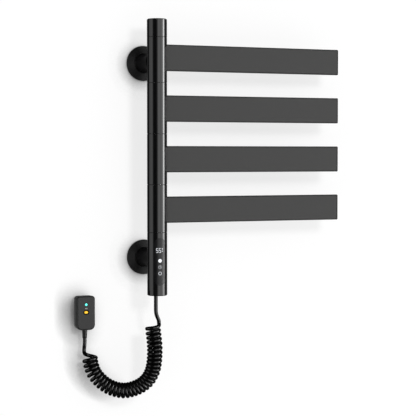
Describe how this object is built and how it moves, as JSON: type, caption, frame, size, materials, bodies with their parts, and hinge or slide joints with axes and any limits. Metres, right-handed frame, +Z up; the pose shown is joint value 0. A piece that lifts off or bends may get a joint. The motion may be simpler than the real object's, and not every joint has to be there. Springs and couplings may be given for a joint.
{
  "type": "towel warmer rack",
  "caption": "Wall-mounted electric towel warmer: flat heated blades that swivel on a round post, a touch control section at its foot and a curly mains cord with a leakage-protection plug.",
  "frame": {"origin": "on the wall face, midway between the two wall fixings; the post's axis is 78 mm in front of it", "axes": "+X right along the wall, the way the blades point at rest; +Y into the wall, the way the wall screws go; +Z up"},
  "size_m": [0.526, 0.11, 0.7215],
  "materials": {
    "post_black": "semi-gloss black lacquer on aluminium tube",
    "blade_grey": "matte dark grey powder coat on extruded aluminium",
    "fixing_black": "satin black lacquer",
    "trim_plastic": "matte black",
    "panel_gloss": "glossy smoked window",
    "display_white": "backlit white",
    "plate_steel": "zinc plated",
    "screw_steel": "black oxide",
    "core_aluminium": "machined",
    "washer_plastic": "low-friction black acetal",
    "hub_plastic": "glass-filled nylon",
    "heater_foil": "polyimide film",
    "board_green": "solder mask",
    "module_white": "flame-retardant nylon",
    "wire_sleeve": "silicone sleeving",
    "cord_rubber": "glossy black polyurethane",
    "plug_plastic": "fine matte dark grey",
    "pin_brass": "bright",
    "light_cyan": "lit cyan",
    "button_amber": "translucent amber"
  },
  "bodies": {
    "root": {"upper_wall_plate": "plate_steel", "lower_wall_plate": "plate_steel", "upper_flange_cover": "fixing_black", "lower_flange_cover": "fixing_black", "upper_standoff": "fixing_black", "lower_standoff": "fixing_black", "grub_screws": "screw_steel", "standoff_bolts": "screw_steel", "rear_strap": "fixing_black", "strap_screws": "screw_steel", "spine_tube": "plate_steel", "spine_nut": "screw_steel", "friction_washers": "washer_plastic", "disc_springs": "screw_steel", "head_core": "core_aluminium", "head_tube": "post_black", "top_cap": "post_black", "control_housing": "post_black", "touch_panel": "panel_gloss", "display_digits": "display_white", "touch_icons": "display_white", "control_board": "board_green", "power_module": "module_white", "wiring_loom": "wire_sleeve", "bottom_cap": "trim_plastic", "cord_grommet": "cord_rubber", "cord_clamp": "module_white", "cord_upper_lead": "cord_rubber", "cord_coil": "cord_rubber", "cord_lower_lead": "cord_rubber", "plug_back_shell": "plug_plastic", "plug_front_shell": "plug_plastic", "plug_pins": "pin_brass", "plug_boot": "cord_rubber", "plug_light": "light_cyan", "leakage_module": "board_green", "plug_screws": "screw_steel"},
    "arm_1": {"sleeve_1": "post_black", "hub_1": "hub_plastic", "blade_1": "blade_grey", "end_cap_1": "trim_plastic", "heater_1": "heater_foil"},
    "arm_2": {"sleeve_2": "post_black", "hub_2": "hub_plastic", "blade_2": "blade_grey", "end_cap_2": "trim_plastic", "heater_2": "heater_foil"},
    "arm_3": {"sleeve_3": "post_black", "hub_3": "hub_plastic", "blade_3": "blade_grey", "end_cap_3": "trim_plastic", "heater_3": "heater_foil"},
    "arm_4": {"sleeve_4": "post_black", "hub_4": "hub_plastic", "blade_4": "blade_grey", "end_cap_4": "trim_plastic", "heater_4": "heater_foil"},
    "reset_key": {"reset_button": "button_amber"}
  },
  "joints": [
    {"name": "arm_1_swivel", "type": "hinge", "parent": "root", "child": "arm_1", "pos_m": [0, -0.078, 0.1945], "axis": [0, 0, 1], "range_deg": [-180, 0]},
    {"name": "arm_2_swivel", "type": "hinge", "parent": "root", "child": "arm_2", "pos_m": [0, -0.078, 0.0985], "axis": [0, 0, 1], "range_deg": [-180, 0]},
    {"name": "arm_3_swivel", "type": "hinge", "parent": "root", "child": "arm_3", "pos_m": [0, -0.078, 0.0025], "axis": [0, 0, 1], "range_deg": [-180, 0]},
    {"name": "arm_4_swivel", "type": "hinge", "parent": "root", "child": "arm_4", "pos_m": [0, -0.078, -0.0935], "axis": [0, 0, 1], "range_deg": [-180, 0]},
    {"name": "reset_press", "type": "slide", "parent": "root", "child": "reset_key", "axis": [0, 1, 0], "range_m": [0, 0.0012], "stiffness_N_per_m": 800, "springref_m": -0.0005}
  ]
}
